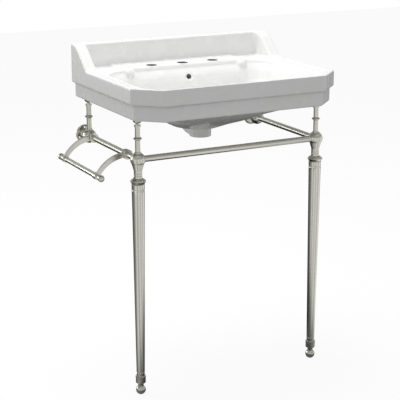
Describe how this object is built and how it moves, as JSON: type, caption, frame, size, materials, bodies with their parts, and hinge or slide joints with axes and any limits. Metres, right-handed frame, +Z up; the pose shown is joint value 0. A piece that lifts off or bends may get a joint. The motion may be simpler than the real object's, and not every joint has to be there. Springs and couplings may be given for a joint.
{
  "type": "console sink",
  "caption": "Wall-fixed china console sink with tap platform and upstand, on fluted metal legs with rails, support posts and a swinging towel rod.",
  "frame": {"origin": "on the wall, midway between the two wall bolts of the basin", "axes": "+X to the right seen from the room, +Y into the wall, +Z up"},
  "size_m": [0.71, 0.476, 0.9605],
  "materials": {
    "china": "white gloss glaze",
    "nickel": "satin nickel plate",
    "steel": "zinc plated",
    "pad": "matt"
  },
  "bodies": {
    "root": {"basin": "china", "front_rail": "nickel", "side_rail_left": "nickel", "hub_front_left": "nickel", "hub_rear_left": "nickel", "wall_flange_left": "nickel", "leg_collar_left": "nickel", "leg_left": "nickel", "leg_ferrule_left": "nickel", "leg_insert_left": "steel", "leg_stud_left": "steel", "post_lower_front_left": "nickel", "post_ring_front_left": "nickel", "post_upper_front_left": "nickel", "lock_ring_front_left": "nickel", "post_lower_rear_left": "nickel", "post_ring_rear_left": "nickel", "post_upper_rear_left": "nickel", "lock_ring_rear_left": "nickel", "side_rail_right": "nickel", "hub_front_right": "nickel", "hub_rear_right": "nickel", "wall_flange_right": "nickel", "leg_collar_right": "nickel", "leg_right": "nickel", "leg_ferrule_right": "nickel", "leg_insert_right": "steel", "leg_stud_right": "steel", "post_lower_front_right": "nickel", "post_ring_front_right": "nickel", "post_upper_front_right": "nickel", "lock_ring_front_right": "nickel", "post_lower_rear_right": "nickel", "post_ring_rear_right": "nickel", "post_upper_rear_right": "nickel", "lock_ring_rear_right": "nickel", "hub_set_screws": "steel"},
    "foot_left": {"foot_left": "nickel"},
    "cap_front_left": {"support_cap_front_left": "nickel", "support_pad_front_left": "pad"},
    "cap_rear_left": {"support_cap_rear_left": "nickel", "support_pad_rear_left": "pad"},
    "foot_right": {"foot_right": "nickel"},
    "cap_front_right": {"support_cap_front_right": "nickel", "support_pad_front_right": "pad"},
    "cap_rear_right": {"support_cap_rear_right": "nickel", "support_pad_rear_right": "pad"},
    "towel_rack": {"towel_arm_front": "nickel", "towel_arm_rear": "nickel", "towel_rod": "nickel", "rod_collar_front": "nickel", "rod_collar_rear": "nickel", "towel_finial_front": "nickel", "towel_finial_rear": "nickel", "clamp_set_screws": "steel"}
  },
  "joints": [
    {"name": "foot_left_level", "type": "slide", "parent": "root", "child": "foot_left", "axis": [0, 0, -1], "range_m": [0, 0.01]},
    {"name": "cap_front_left_height", "type": "slide", "parent": "root", "child": "cap_front_left", "axis": [0, 0, -1], "range_m": [0, 0.004]},
    {"name": "cap_rear_left_height", "type": "slide", "parent": "root", "child": "cap_rear_left", "axis": [0, 0, -1], "range_m": [0, 0.004]},
    {"name": "foot_right_level", "type": "slide", "parent": "root", "child": "foot_right", "axis": [0, 0, -1], "range_m": [0, 0.01]},
    {"name": "cap_front_right_height", "type": "slide", "parent": "root", "child": "cap_front_right", "axis": [0, 0, -1], "range_m": [0, 0.004]},
    {"name": "cap_rear_right_height", "type": "slide", "parent": "root", "child": "cap_rear_right", "axis": [0, 0, -1], "range_m": [0, 0.004]},
    {"name": "towel_rack_swing", "type": "hinge", "parent": "root", "child": "towel_rack", "pos_m": [-0.2866, -0.19, -0.14], "axis": [0, 1, 0], "range_deg": [-60, 60]}
  ]
}
